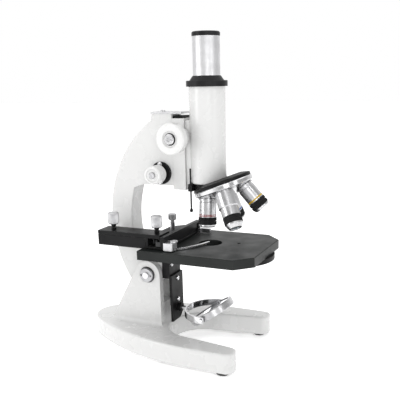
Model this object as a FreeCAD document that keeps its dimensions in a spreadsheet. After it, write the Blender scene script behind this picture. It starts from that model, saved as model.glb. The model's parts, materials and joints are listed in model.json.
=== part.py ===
import FreeCAD, Part
import Sketcher
import math
import os

# Student compound microscope, real size in millimetres, +Z up, standing on the floor plane.
# The optical axis is the vertical line every size below is measured from: +X is the far side,
# -Y the front (stage side) and +Y the arm side.  axis_offset moves the finished object so that
# the middle of its footprint is the frame origin.

SIZES = {
    # frame
    "axis_offset": 40.76,
    # base casting
    "base_half_width": 64.5, "base_side_radius": 245.0, "base_rear_radius": 26.0,
    "base_bottom": 4.0, "base_top": 25.5, "base_leg_front": 49.0, "base_leg_inner": 45.0,
    "base_gap_radius": 36.0, "base_gap_centre": 14.0, "base_wall": 7.0, "base_roof": 5.0,
    "base_hollow_front": 20.0, "leg_corner": 8.5, "base_edge_round": 2.5, "rear_pad_depth": 16.0,
    # pillar on the base
    "pivot_back": 70.0, "pivot_height": 84.0, "cheek_radius": 15.5, "cheek_slope": 29.0,
    "pillar_width": 38.0, "slot_width": 22.6, "slot_floor": 50.0, "pivot_radius": 5.0,
    "pillar_foot_round": 5.0,
    # feet
    "foot_x": 55.0, "foot_front": 36.0, "foot_back": 136.0, "foot_radius": 7.5,
    "foot_height": 4.0, "foot_recess": 2.5, "foot_recess_depth": 1.5, "foot_chamfer": 1.0,
    # pivot bolt
    "bolt_half_length": 24.0, "bolt_end_radius": 3.6, "bolt_shoulder": 20.5, "nut_radius": 8.2,
    "nut_height": 3.4, "nut_pin_hole": 1.2, "nut_pin_pitch": 5.9, "running_gap": 0.05,
    # arm casting
    "arm_width": 22.0, "arm_centre_front": 17.3, "arm_centre_height": 145.7,
    "arm_outer": 134.6, "arm_inner": 108.0, "arm_top_angle": 43.5, "arm_low_angle": 32.0,
    "arm_inner_top": 19.0, "head_front": 36.3, "head_bottom": 185.0, "head_top": 260.0,
    "head_back": 60.0, "head_back_drop": 6.0, "head_throat": 73.0, "lug_radius": 15.0,
    "lug_toe_angle": 75.0, "seat_front": 55.0, "seat_top": 112.3,
    "seat_corner_angle": 15.0, "arm_edge_round": 1.5,
    "guide_slot_half": 5.1, "guide_slot_depth": 7.0, "guide_slot_top": 256.0,
    # cover plate, screws
    "cover_front": 24.5, "cover_thickness": 2.0, "cover_half": 11.6,
    "screw_head": 2.7, "screw_head_height": 1.6, "screw_shank": 1.5, "screw_length": 3.5,
    "screw_slot": 0.7, "cover_screw_back": 52.0,
    # fine focus
    "fine_back": 50.8, "fine_height": 198.0, "fine_shaft": 4.0, "fine_flange": 12.0,
    "flange_thickness": 2.4, "flange_screw_pitch": 9.3, "fine_hub": 5.2, "fine_hub_end": 17.0,
    "fine_knob": 9.6, "fine_knob_end": 32.0, "fine_shaft_end": 33.2, "fine_knob_dish": 1.2,
    "knob_chamfer": 1.2, "fine_shaft_tip": 3.0,
    # focus block
    "block_half": 12.0, "block_front": 21.6, "block_back": 36.0, "block_bottom": 181.0,
    "block_top": 255.5, "tongue_half": 5.0, "tongue_depth": 6.7, "tongue_low": 190.0,
    "tongue_high": 252.0, "channel_mouth": 6.5, "channel_back": 8.0, "channel_depth": 2.0,
    "pinion_room": 6.4, "pinion_room_half": 3.6, "top_plate_half": 8.5, "top_plate_height": 2.6,
    "top_plate_front": 25.0,
    # coarse focus
    "coarse_back": 26.0, "coarse_height": 236.2, "coarse_shaft": 2.2, "bush_radius": 10.5,
    "bush_end": 26.5, "coarse_knob": 16.0, "coarse_knob_start": 27.0, "coarse_knob_end": 36.3,
    "coarse_dish": 7.6, "coarse_dish_depth": 1.5, "coarse_ring": 6.6, "coarse_nut": 5.4,
    "coarse_nut_height": 2.4, "gear_step": 1.0, "gear_teeth": 10.0, "pinion_half": 2.9,
    # tube carriage and rack
    "carriage_half": 10.0, "carriage_front": 14.0, "carriage_back": 21.3, "carriage_low": 181.5,
    "carriage_high": 253.5, "carriage_tongue_mouth": 6.2, "carriage_tongue_back": 7.7,
    "carriage_tongue_depth": 2.15, "rack_half": 3.2, "rack_slot_half": 3.35, "rack_slot_end": 0.5,
    "rack_foot": 18.75,
    "rack_pitch_line": 21.0, "rack_low": 198.0, "rack_high": 247.0,
    # body tube, collar, draw tube
    "tube_radius": 18.7, "tube_bore": 16.4, "tube_bottom": 188.4, "tube_top": 287.0,
    "tube_edge_round": 1.6, "collar_radius": 21.2, "collar_top": 292.8, "cone_low": 17.8,
    "cone_top": 297.5, "cone_high": 14.4, "collar_spigot": 12.0, "draw_radius": 13.9,
    "draw_bore": 11.9, "draw_low": 262.0, "draw_top": 335.5, "tube_turn_gap": 0.02,
    # eyepiece
    "eye_barrel": 11.85, "eye_bore": 10.0, "eye_low": 296.0, "eye_cap_radius": 14.3,
    "eye_cap_height": 4.4, "eye_window": 5.5, "eye_cap_step": 1.0, "lens_thickness": 2.4,
    "field_lens_up": 1.5,
    # nosepiece
    "nose_tilt": 20.5, "nose_pitch": 20.2, "nose_seat": 172.0, "nose_radius": 32.0,
    "nose_top": 9.0, "nose_core": 7.5, "nose_pivot": 4.0,
    "nose_bevel": 0.8, "nose_turn": 20.0, "nose_gap": 0.3,
    "plate_thickness": 3.4, "plate_radius": 31.0,
    "plate_rise": 2.2, "plate_crown": 22.0, "neck_radius": 16.4, "light_bore": 7.0,
    "pivot_head": 6.8, "pivot_head_height": 2.6, "thread_radius": 7.9, "thread_length": 3.4,
    # objectives: length below the seat
    "red_length": 30.0, "yellow_length": 30.5, "blue_length": 34.5, "oil_length": 39.0,
    "shoulder_radius": 9.9, "shoulder_height": 1.6, "barrel_radius": 9.1, "oil_barrel": 10.5,
    "oil_waist": 9.4, "oil_step": 17.0, "grip_radius": 9.6, "grip_height": 7.8,
    "grip_above_tip": 2.8, "oil_grip_above_tip": 5.2, "core_radius": 8.0, "core_bore": 5.0,
    "tip_radius": 8.8, "tip_end": 7.4, "oil_tip_end": 6.6, "front_lens_thickness": 1.4,
    # stop rod
    "rod_x": 14.6, "rod_back": 14.6, "rod_radius": 0.9, "rod_low": 162.0, "rod_high": 204.5,
    "ball_radius": 2.0, "rod_block_low": 180.6, "rod_block_high": 188.2, "rod_block_half": 2.2,
    "rod_block_reach": 3.9,
    # stage
    "stage_half": 55.0, "stage_front": 65.0, "stage_back": 60.0, "stage_corner": 16.6,
    "stage_bottom": 112.3, "stage_top": 122.3, "aperture": 12.7, "stage_edge": 0.8,
    # bracket under the stage, mirror plate
    "bracket_half": 13.0, "bracket_back": 54.0, "bracket_face": 45.0, "bracket_foot": 80.0,
    "shelf_front": 22.0, "shelf_depth": 7.0, "strip_half": 7.0, "strip_back": 49.0,
    "strip_foot": 46.0, "lug_link_half": 10.5, "mirror_plate_half": 13.3,
    "mirror_plate_thickness": 2.5, "mirror_plate_low": 29.0, "mirror_plate_high": 83.0,
    "mirror_plate_corner": 4.0, "boss_radius": 5.0, "boss_length": 5.0, "stem_height": 43.0,
    "plate_screw_high": 77.5, "plate_screw_low": 52.5, "bracket_screw_x": 8.5,
    "bracket_screw_height": 96.0,
    # iris disc under the stage
    "disc_x": 8.0, "disc_front": 30.0, "disc_radius": 38.5, "disc_thickness": 1.6,
    "disc_rim": 5.0, "disc_rim_wall": 2.0, "disc_gap": 0.4, "disc_hole_pitch": 31.05,
    "disc_pin": 2.0, "disc_pin_head": 4.5, "disc_pin_head_height": 1.6,
    # mirror
    "stem_radius": 2.5, "stem_back": 46.5, "stem_front": 28.0, "yoke_outer": 31.0,
    "yoke_wall": 2.0, "yoke_half_height": 3.6, "yoke_arm": 3.0, "mirror_tilt": 33.0,
    "cell_radius": 26.5, "cell_inner": 24.0, "cell_half_height": 4.0, "glass_radius": 23.9,
    "glass_thickness": 2.0, "cell_lip": 0.9, "web_half": 1.2, "mirror_pin": 1.6,
    "mirror_pin_head": 2.6, "mirror_pin_head_height": 1.3, "concave_radius": 260.0,
    "concave_depth": 1.0,
    # attachable mechanical stage
    "rail_near": 46.0, "rail_far": 24.0, "rail_front": 54.0, "rail_back": 113.0,
    "rail_low": 122.3, "rail_high": 134.0, "rail_wall": 3.0, "slide_gap": 0.3,
    "slide_top": 138.2, "slide_front": 37.0, "slide_block_low": 123.0, "slide_block_back": 53.6,
    "slide_roof_wall": 2.2, "slide_tongue": 2.7, "slide_tongue_front": 56.0,
    "knob_axis_x": 35.0, "y_knob_back": 99.5, "x_knob_back": 46.0, "small_step": 0.8,
    "pinion_low": 126.4, "pinion_high": 131.4, "small_shaft": 2.0, "neck_round": 2.7,
    "neck_top": 144.0, "knurl_radius": 6.1, "knurl_top": 156.5, "knurl_chamfer": 0.9,
    "rail_rack_front": 72.0, "rail_rack_back": 112.0, "bar_near": 47.5, "bar_far": 40.0,
    "bar_front": 31.0, "bar_back": 35.6, "bar_low": 123.3, "bar_high": 137.0,
    "bar_recess": 1.4, "bar_recess_near": 34.0, "bar_recess_far": 36.0, "bar_lip": 2.0,
    "plate_far": 52.0, "plate_near": 24.0, "plate_front": 45.0, "plate_back": 70.0,
    "plate_top": 126.3, "plate_corner": 12.0, "thumb_x": 21.0, "thumb_back": 57.0,
    "thumb_head": 4.6, "thumb_head_low": 139.5, "thumb_head_high": 146.5, "thumb_stem": 1.8,
    "holder_near": 50.0, "holder_far": 37.5, "holder_front": 20.5, "holder_low": 123.4,
    "holder_high": 131.5, "holder_round": 2.5, "finger_pin_x": 41.5, "finger_pin_front": 23.0,
    "finger_pin": 1.5, "finger_eye": 3.4, "finger_low": 122.9, "finger_high": 124.7, "finger_half": 1.5,
    "finger_radius": 70.0, "finger_tip_x": 4.0, "finger_tip_front": 0.5, "finger_slot_gap": 0.35,
    "corner_x": 40.0, "corner_width": 4.0, "corner_front": 17.0, "corner_high": 128.0,
    "corner_toe": 3.0,
}

DISC_HOLES = (5.0, 4.2, 3.4, 2.6, 1.8, 1.0)
TOOTH_SHARE = 0.42
TOOTH_ADDENDUM = 0.8
TOOTH_DEDENDUM = 1.1
PRESSURE_ANGLE = 20.0

doc = FreeCAD.newDocument("microscope")
sheet = doc.addObject("Spreadsheet::Sheet", "dims")
for row, (alias, size) in enumerate(SIZES.items(), start=1):
    sheet.set(f"A{row}", alias)
    sheet.set(f"B{row}", repr(size))
    sheet.setAlias(f"B{row}", alias)
doc.recompute()


class Size:
    """A sheet value together with the expression that gives it."""

    def __init__(self, value, text):
        self.value = value
        self.text = text

    def __add__(self, other):
        other = lift(other)
        return Size(self.value + other.value, f"({self.text} + {other.text})")

    def __sub__(self, other):
        other = lift(other)
        return Size(self.value - other.value, f"({self.text} - {other.text})")

    def __mul__(self, other):
        other = lift(other)
        return Size(self.value * other.value, f"({self.text} * {other.text})")

    def __truediv__(self, other):
        other = lift(other)
        return Size(self.value / other.value, f"({self.text} / {other.text})")

    def __radd__(self, other):
        return lift(other) + self

    def __rsub__(self, other):
        return lift(other) - self

    def __rmul__(self, other):
        return lift(other) * self

    def __neg__(self):
        return Size(-self.value, f"(-1 * {self.text})")


def lift(number):
    return number if isinstance(number, Size) else Size(float(number), repr(float(number)))


def root(size):
    return Size(math.sqrt(size.value), f"sqrt({size.text})")


def sine(angle):
    return Size(math.sin(math.radians(angle.value)), f"sin({angle.text} * 1 deg)")


def cosine(angle):
    return Size(math.cos(math.radians(angle.value)), f"cos({angle.text} * 1 deg)")


def tangent(angle):
    return Size(math.tan(math.radians(angle.value)), f"tan({angle.text} * 1 deg)")


class Sheet:
    """Gives every sheet cell as an attribute."""

    def __getattr__(self, alias):
        return Size(float(sheet.get(alias)), f"dims.{alias}")


d = Sheet()

UPRIGHT = FreeCAD.Rotation()
ALONG_X = FreeCAD.Rotation(FreeCAD.Vector(1, 1, 1), 120)
X_AXIS = FreeCAD.Vector(1, 0, 0)
Z_AXIS = FreeCAD.Vector(0, 0, 1)

nodes = {}


def value(number):
    return lift(number).value


def place(x=0, y=0, z=0, rotation=UPRIGHT):
    """Placement of a sub-part measured from the optical axis."""
    base = FreeCAD.Vector(value(x), value(y) - d.axis_offset.value, value(z))
    return FreeCAD.Placement(base, rotation)


def keep(label, item, placement=None):
    """Registers a document object as a finished sub-part."""
    item.Label = label
    if placement is not None:
        item.Placement = placement
    nodes[label] = item
    return item


# ---- sketches -------------------------------------------------------------------------------

def pin_point(sketch, geometry, point, x, y):
    """Fixes a sketch point at sheet-driven coordinates."""
    for kind, axis, size in (("DistanceX", -2, x), ("DistanceY", -1, y)):
        if size.value == 0 and size.text == "0.0":
            sketch.addConstraint(Sketcher.Constraint("PointOnObject", geometry, point, axis))
            continue
        index = sketch.addConstraint(
            Sketcher.Constraint(kind, -1, 1, geometry, point, size.value))
        sketch.setExpression(f"Constraints[{index}]", size.text)


def arc_centre(start, end, radius):
    """Centre of the minor arc; a positive radius turns anticlockwise."""
    middle = (start + end) * 0.5
    half = (end - start) * 0.5
    rise = math.sqrt(max(radius ** 2 - half.Length ** 2, 0.0))
    normal = FreeCAD.Vector(-half.y, half.x, 0).normalize()
    return middle + normal * (rise if radius > 0 else -rise)


def draw_loop(sketch, path):
    """Adds a closed loop.  Each vertex is (x, y) or (x, y, radius of the arc to the next one)."""
    corners = [tuple(lift(part) for part in vertex) for vertex in path]
    ends = []
    first = sketch.GeometryCount
    for index, corner in enumerate(corners):
        following = corners[(index + 1) % len(corners)]
        start = FreeCAD.Vector(corner[0].value, corner[1].value, 0)
        end = FreeCAD.Vector(following[0].value, following[1].value, 0)
        if len(corner) == 2:
            sketch.addGeometry(Part.LineSegment(start, end), False)
            ends.append((1, 2))
            continue
        radius = corner[2].value
        centre = arc_centre(start, end, radius)
        low, high = (start, end) if radius > 0 else (end, start)
        angles = [math.atan2(point.y - centre.y, point.x - centre.x) for point in (low, high)]
        circle = Part.Circle(centre, Z_AXIS, abs(radius))
        sketch.addGeometry(Part.ArcOfCircle(circle, *angles), False)
        ends.append((1, 2) if radius > 0 else (2, 1))
    for index, corner in enumerate(corners):
        geometry = first + index
        following = first + (index + 1) % len(corners)
        pin_point(sketch, geometry, ends[index][0], corner[0], corner[1])
        sketch.addConstraint(Sketcher.Constraint(
            "Coincident", geometry, ends[index][1], following,
            ends[(index + 1) % len(corners)][0]))
        if len(corner) == 3:
            size = corner[2] if corner[2].value > 0 else -corner[2]
            number = sketch.addConstraint(Sketcher.Constraint("Radius", geometry, size.value))
            sketch.setExpression(f"Constraints[{number}]", size.text)


def draw_circle(sketch, x, y, radius):
    x, y, radius = lift(x), lift(y), lift(radius)
    circle = Part.Circle(FreeCAD.Vector(x.value, y.value, 0), Z_AXIS, radius.value)
    geometry = sketch.addGeometry(circle, False)
    pin_point(sketch, geometry, 3, x, y)
    number = sketch.addConstraint(Sketcher.Constraint("Radius", geometry, radius.value))
    sketch.setExpression(f"Constraints[{number}]", radius.text)


def draw(sketch, loops):
    for loop in loops:
        if loop[0] == "circle":
            draw_circle(sketch, *loop[1:])
        else:
            draw_loop(sketch, loop)


def rectangle(x_low, y_low, x_high, y_high):
    return [(x_low, y_low), (x_high, y_low), (x_high, y_high), (x_low, y_high)]


def circle(x, y, radius):
    return ("circle", x, y, radius)


# ---- bodies ---------------------------------------------------------------------------------

def new_body(name):
    return doc.addObject("PartDesign::Body", name)


def new_sketch(body, plane, height, loops):
    sketch = body.newObject("Sketcher::SketchObject", f"{body.Name}_sketch")
    origin = next(item for item in body.Origin.OriginFeatures if item.Role == plane)
    sketch.AttachmentSupport = [(origin, "")]
    sketch.MapMode = "FlatFace"
    height = lift(height)
    if height.value:
        sketch.AttachmentOffset = FreeCAD.Placement(
            FreeCAD.Vector(0, 0, height.value), FreeCAD.Rotation())
        sketch.setExpression("AttachmentOffset.Base.z", height.text)
    draw(sketch, loops)
    return sketch


def extrude(body, kind, loops, low, high, plane="XY_Plane"):
    """Pad or pocket between two heights above the sketch plane."""
    sketch = new_sketch(body, plane, low, loops)
    feature = body.newObject(f"PartDesign::{kind}", f"{body.Name}_{kind.lower()}")
    feature.Profile = sketch
    length = lift(high) - low
    feature.Length = length.value
    feature.setExpression("Length", length.text)
    feature.Reversed = kind == "Pocket"
    sketch.Visibility = False
    return feature


def pad(body, loops, low, high, plane="XY_Plane"):
    return extrude(body, "Pad", loops, low, high, plane)


def pocket(body, loops, low, high, plane="XY_Plane"):
    return extrude(body, "Pocket", loops, low, high, plane)


def turn(body, path, kind="Revolution"):
    """Turns a (radius, height) outline about the body's own Z axis."""
    sketch = new_sketch(body, "XZ_Plane", 0, [path])
    feature = body.newObject(f"PartDesign::{kind}", f"{body.Name}_{kind.lower()}")
    feature.Profile = sketch
    feature.ReferenceAxis = (sketch, ["V_Axis"])
    feature.Angle = 360.0
    sketch.Visibility = False
    return feature


def round_edges(body, radius, chosen, kind="Fillet"):
    """Rounds or bevels the body's edges that the chosen test accepts."""
    doc.recompute()
    shape = body.Tip.Shape
    names = [f"Edge{index}" for index, edge in enumerate(shape.Edges, start=1) if chosen(edge)]
    feature = body.newObject(f"PartDesign::{kind}", f"{body.Name}_{kind.lower()}")
    previous = body.Tip if body.Tip != feature else feature.BaseFeature
    feature.Base = (previous, names)
    size = "Radius" if kind == "Fillet" else "Size"
    setattr(feature, size, radius.value)
    feature.setExpression(size, radius.text)
    doc.recompute()
    return feature


def turned(label, path, placement):
    body = new_body(label)
    turn(body, path)
    return keep(label, body, placement)


def plate(label, loops, low, high, placement):
    body = new_body(label)
    pad(body, loops, low, high)
    return keep(label, body, placement)


def mid(edge):
    return edge.valueAt((edge.FirstParameter + edge.LastParameter) / 2)


def near_value(number, target, slack=0.05):
    return abs(number - value(target)) < slack


# ---- part primitives ------------------------------------------------------------------------

def cylinder(name, radius, height, placement):
    item = doc.addObject("Part::Cylinder", name)
    for attribute, size in (("Radius", lift(radius)), ("Height", lift(height))):
        setattr(item, attribute, size.value)
        item.setExpression(attribute, size.text)
    item.Placement = placement
    return item


def block(name, length, width, height, placement):
    item = doc.addObject("Part::Box", name)
    sizes = (("Length", length), ("Width", width), ("Height", height))
    for attribute, size in ((key, lift(size)) for key, size in sizes):
        setattr(item, attribute, size.value)
        item.setExpression(attribute, size.text)
    item.Placement = placement
    return item


def fuse(name, items):
    item = doc.addObject("Part::MultiFuse", name)
    item.Shapes = items
    return item


def subtract(name, base, tool):
    item = doc.addObject("Part::Cut", name)
    item.Base = base
    item.Tool = tool
    return item


def group(label, items):
    """Identical separate solids kept as one node."""
    item = doc.addObject("Part::Compound", label)
    item.Links = items
    return keep(label, item)


def repeated(label, path, placements):
    """The same turned piece at several places."""
    bodies = []
    for index, placement in enumerate(placements, start=1):
        body = new_body(f"{label}_{index}")
        turn(body, path)
        body.Placement = placement
        bodies.append(body)
    return group(label, bodies)


def add_pair(label, path, y, z):
    """The same turned piece on the near and on the far side, both facing outwards."""
    near = place(0, y, z, FreeCAD.Rotation(Z_AXIS, 180).multiply(ALONG_X))
    return repeated(label, path, [near, place(0, y, z, ALONG_X)])


# ---- gear teeth -----------------------------------------------------------------------------

def involute_half_angle(radius, pitch, teeth, share):
    """Half of the tooth's angular width at a radius."""
    base = pitch * math.cos(math.radians(PRESSURE_ANGLE))
    flank = math.radians(PRESSURE_ANGLE)
    at_pitch = math.tan(flank) - flank
    turn_angle = math.acos(min(base / max(radius, base), 1.0))
    here = math.tan(turn_angle) - turn_angle
    return math.pi * share / teeth + at_pitch - here


def gear_shape(step, teeth, bore, thickness, steps=4):
    """A spur pinion with one tooth centred on +X."""
    pitch = step * teeth / 2
    outer = pitch + TOOTH_ADDENDUM * step
    inner = pitch - TOOTH_DEDENDUM * step
    radii = [inner + (outer - inner) * index / steps for index in range(steps + 1)]
    points = []
    for tooth in range(int(teeth)):
        middle = 2 * math.pi * tooth / teeth
        left = [(radius, middle - involute_half_angle(radius, pitch, teeth, TOOTH_SHARE))
                for radius in radii]
        right = [(radius, middle + involute_half_angle(radius, pitch, teeth, TOOTH_SHARE))
                 for radius in reversed(radii)]
        points += [FreeCAD.Vector(radius * math.cos(angle), radius * math.sin(angle), 0)
                   for radius, angle in left + right]
    face = Part.Face(Part.makePolygon(points + points[:1]))
    solid = face.extrude(FreeCAD.Vector(0, 0, thickness))
    return solid.cut(Part.makeCylinder(bore, thickness))


def rack_shape(step, foot, length_low, length_high, depth):
    """A rack along Y with teeth towards +X; the pitch line is X = 0 and a gap is at Y = 0."""
    pitch = math.pi * step
    slope = math.tan(math.radians(PRESSURE_ANGLE))
    top = TOOTH_ADDENDUM * step
    bottom = -TOOTH_DEDENDUM * step
    half = pitch * TOOTH_SHARE / 2
    points = [FreeCAD.Vector(-foot, length_low, 0), FreeCAD.Vector(bottom, length_low, 0)]
    first = math.ceil((length_low + pitch) / pitch)
    last = math.floor((length_high - pitch) / pitch)
    for index in range(first, last + 1):
        middle = (index - 0.5) * pitch
        for height, side in ((bottom, -1), (top, -1), (top, 1), (bottom, 1)):
            points.append(FreeCAD.Vector(height, middle + side * (half - height * slope), 0))
    points += [FreeCAD.Vector(bottom, length_high, 0), FreeCAD.Vector(-foot, length_high, 0)]
    face = Part.Face(Part.makePolygon(points + points[:1]))
    return face.extrude(FreeCAD.Vector(0, 0, depth))


def shaped(label, shape, placement):
    """Tooth forms have no feature of their own, so their shape is set from the sheet sizes."""
    item = doc.addObject("Part::Feature", label)
    item.Shape = shape
    return keep(label, item, placement)


# ---- base -----------------------------------------------------------------------------------

def horseshoe(inset, leg_front, rear):
    """Outline of the U-shaped base, moved inwards by the inset."""
    side_centre = d.base_side_radius - d.base_half_width
    rear_centre = root((d.base_side_radius - d.base_rear_radius)
                       * (d.base_side_radius - d.base_rear_radius) - side_centre * side_centre)
    reach = d.base_side_radius - inset
    share = reach / (d.base_side_radius - d.base_rear_radius)
    side_x = side_centre * share - side_centre
    side_y = rear_centre * share
    half = d.base_half_width - inset
    gap = d.base_gap_radius + inset
    toe = d.base_leg_inner + inset
    rear_arc = rear if rear is not None else d.base_rear_radius - inset
    return [(half, -leg_front), (half, 0, reach), (side_x, side_y, rear_arc),
            (-side_x, side_y, reach), (-half, 0), (-half, -leg_front), (-toe, -leg_front),
            (-gap, d.base_gap_centre, -gap - 0.001), (gap, d.base_gap_centre),
            (toe, -leg_front)]


def base_casting():
    body = new_body("base_casting")
    pad(body, [horseshoe(lift(0), d.base_leg_front, None)], d.base_bottom, d.base_top)
    round_edges(body, d.leg_corner, lambda edge: near_value(mid(edge).y, -d.base_leg_front)
                and abs(edge.Vertexes[0].Z - edge.Vertexes[-1].Z) > 1)
    round_edges(body, d.base_edge_round, lambda edge: near_value(mid(edge).z, d.base_top)
                and edge.BoundBox.ZLength < 0.01)
    hollow_roof = d.base_top - d.base_roof
    inner = d.base_half_width - d.base_wall
    gap = d.base_gap_radius + d.base_wall
    for side in (1, -1):
        leg = [(side * inner, -d.base_hollow_front), (side * inner, lift(40)),
               (side * gap, lift(40)), (side * gap, -d.base_hollow_front)]
        pocket(body, [leg if side > 0 else leg[::-1]], d.base_bottom, hollow_roof)
    rear_top = d.foot_back - d.rear_pad_depth
    pocket(body, [[(-36, 60), (36, 60), (24, rear_top), (-24, rear_top)]],
           d.base_bottom, hollow_roof)
    cheek_x = d.pivot_back + d.cheek_radius * cosine(d.cheek_slope)
    cheek_z = d.pivot_height + d.cheek_radius * sine(d.cheek_slope)
    foot = cheek_x + (cheek_z - d.base_top + 2) * tangent(d.cheek_slope)
    front = d.pivot_back - d.cheek_radius
    cheek = [(front, d.base_top - 2), (foot, d.base_top - 2), (cheek_x, cheek_z, d.cheek_radius),
             (d.pivot_back, d.pivot_height + d.cheek_radius, d.cheek_radius),
             (front, d.pivot_height)]
    half = d.pillar_width / 2
    pad(body, [cheek], -half, half, "YZ_Plane")
    round_edges(body, d.pillar_foot_round, lambda edge: near_value(mid(edge).z, d.base_top)
                and abs(mid(edge).x) <= half.value + 0.1 and edge.BoundBox.ZLength < 0.01
                and mid(edge).y > front.value - 0.1)
    slot = d.slot_width / 2
    pocket(body, [rectangle(20, d.slot_floor, 130, d.pivot_height + 30)], -slot, slot, "YZ_Plane")
    pocket(body, [circle(d.pivot_back, d.pivot_height, d.pivot_radius)], -half - 1, half + 1,
           "YZ_Plane")
    keep("base_casting", body, place())


def base_fittings():
    foot = [(d.foot_recess, 0), (d.foot_radius - d.foot_chamfer, 0),
            (d.foot_radius, d.foot_chamfer), (d.foot_radius, d.foot_height), (0, d.foot_height),
            (0, d.foot_recess_depth), (d.foot_recess, d.foot_recess_depth)]
    spots = [(-d.foot_x, -d.foot_front), (d.foot_x, -d.foot_front), (0, d.foot_back)]
    repeated("rubber_feet", foot, [place(x, y) for x, y in spots])
    shoulder = d.bolt_shoulder
    end = d.bolt_half_length
    bolt = [(0, -end), (d.bolt_end_radius, -end), (d.bolt_end_radius, -shoulder),
            (d.pivot_radius, -shoulder), (d.pivot_radius, shoulder),
            (d.bolt_end_radius, shoulder), (d.bolt_end_radius, end), (0, end)]
    turned("pivot_bolt", bolt, place(0, d.pivot_back, d.pivot_height, ALONG_X))
    nuts = []
    half = d.pillar_width / 2
    for name, rotation in (("near", FreeCAD.Rotation(Z_AXIS, 180).multiply(ALONG_X)),
                           ("far", ALONG_X)):
        body = new_body(f"pivot_nut_{name}")
        top = half + d.nut_height
        turn(body, [(d.pivot_radius, half), (d.nut_radius, half), (d.nut_radius, top - 0.6),
                    (d.nut_radius - 0.6, top), (d.bolt_end_radius, top),
                    (d.bolt_end_radius, d.bolt_shoulder), (d.pivot_radius, d.bolt_shoulder)])
        holes = [circle(d.nut_pin_pitch, 0, d.nut_pin_hole),
                 circle(-d.nut_pin_pitch, 0, d.nut_pin_hole)]
        pocket(body, holes, top - 1.6, top + 1)
        body.Placement = place(0, d.pivot_back, d.pivot_height, rotation)
        nuts.append(body)
    group("pivot_nuts", nuts)


# ---- arm ------------------------------------------------------------------------------------

def on_arm(radius, angle):
    return (radius * cosine(angle) - d.arm_centre_front,
            radius * sine(angle) + d.arm_centre_height)


def arm_casting():
    body = new_body("arm_casting")
    half = d.arm_width / 2
    outer_top = on_arm(d.arm_outer, d.arm_top_angle)
    outer_low = on_arm(d.arm_outer, -d.arm_low_angle)
    inner_top = on_arm(d.arm_inner, d.arm_inner_top)
    inner_low = on_arm(d.arm_inner, -d.seat_corner_angle)
    toe = (d.pivot_back + d.lug_radius * cosine(d.lug_toe_angle),
           d.pivot_height - d.lug_radius * sine(d.lug_toe_angle))
    front = d.pivot_back - d.lug_radius
    path = [(d.head_front, d.head_bottom), (d.head_throat, d.head_bottom),
            (inner_top[0], inner_top[1], -d.arm_inner), inner_low,
            (inner_low[0] - 6, d.seat_top), (d.seat_front, d.seat_top),
            (front, d.pivot_height, d.lug_radius), toe,
            (outer_low[0], outer_low[1], d.arm_outer), outer_top,
            (d.head_back, d.head_top - d.head_back_drop), (d.head_back, d.head_top),
            (d.head_front, d.head_top)]
    pad(body, [path], -half, half, "YZ_Plane")
    seat = value(d.seat_top) + 1
    round_edges(body, d.arm_edge_round, lambda edge: edge.Curve.TypeId == "Part::GeomCircle"
                and edge.Curve.Radius > 50 and edge.BoundBox.XLength < 0.01
                and mid(edge).z > seat)
    pocket(body, [circle(d.pivot_back, d.pivot_height, d.pivot_radius + d.running_gap),
                  circle(d.fine_back, d.fine_height, d.fine_shaft + d.running_gap)],
           -half - 1, half + 1, "YZ_Plane")
    pocket(body, [rectangle(-d.guide_slot_half, d.head_front - 2, d.guide_slot_half,
                            d.head_front + d.guide_slot_depth)],
           d.head_bottom - 1, d.guide_slot_top)
    keep("arm_casting", body, place())


def screw_path():
    head = d.screw_head_height
    return [(0, -d.screw_length), (d.screw_shank, -d.screw_length), (d.screw_shank, 0),
            (d.screw_head, 0), (d.screw_head, head * 0.6), (d.screw_head * 0.75, head), (0, head)]


def screw_body(name, placement):
    """A slotted screw; its own Z axis points out of the head."""
    body = new_body(name)
    turn(body, screw_path())
    half = d.screw_slot / 2
    pocket(body, [rectangle(-d.screw_head - 1, -half, d.screw_head + 1, half)],
           d.screw_head_height * 0.5, d.screw_head_height + 1)
    body.Placement = placement
    return body


def arm_fittings():
    half = d.cover_half
    cover_loops = [rectangle(-half, d.cover_front, half, d.head_back + 0.4),
                   circle(0, d.cover_screw_back, d.screw_shank)]
    plate("arm_cover_plate", cover_loops, d.head_top, d.head_top + d.cover_thickness, place())
    flange_start = d.arm_width / 2
    flange_end = flange_start + d.flange_thickness
    bore = d.fine_shaft + d.running_gap
    add_pair("fine_flanges", [(bore, flange_start), (d.fine_flange, flange_start),
                              (d.fine_flange, flange_end - 0.5), (d.fine_flange - 0.5, flange_end),
                              (bore, flange_end)], d.fine_back, d.fine_height)
    spots = [place(0, d.cover_screw_back, d.head_top + d.cover_thickness)]
    to_near = FreeCAD.Rotation(Z_AXIS, 180).multiply(ALONG_X)
    to_front = FreeCAD.Rotation(X_AXIS, 90)
    for side, rotation in ((-1, to_near), (1, ALONG_X)):
        for rise in (-1, 1):
            spots.append(place(side * flange_end, d.fine_back,
                               d.fine_height + rise * d.flange_screw_pitch, rotation))
    face = d.bracket_face - d.mirror_plate_thickness
    for height in (d.plate_screw_high, d.plate_screw_low):
        spots.append(place(0, face, height, to_front))
    for side in (-1, 1):
        spots.append(place(side * d.bracket_screw_x, d.bracket_face, d.bracket_screw_height,
                           to_front))
    screws = []
    for index, spot in enumerate(spots, start=1):
        screws.append(screw_body(f"arm_screw_{index}", spot))
    group("arm_screws", screws)
    return spots


def screw_holes(label, spots):
    """Drills a finished sub-part where the screws enter it."""
    base = nodes[label]
    depth = d.screw_length + 0.1
    bottom = FreeCAD.Placement(FreeCAD.Vector(0, 0, -value(depth)), UPRIGHT)
    drills = [cylinder(f"{label}_drill_{index}", d.screw_shank, depth, spot.multiply(bottom))
              for index, spot in enumerate(spots, start=1)]
    base.Label = f"{label}_undrilled"
    keep(label, subtract(f"{label}_drilled", base, fuse(f"{label}_drills", drills)))


# ---- stage, bracket, mirror plate, disc -----------------------------------------------------

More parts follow.
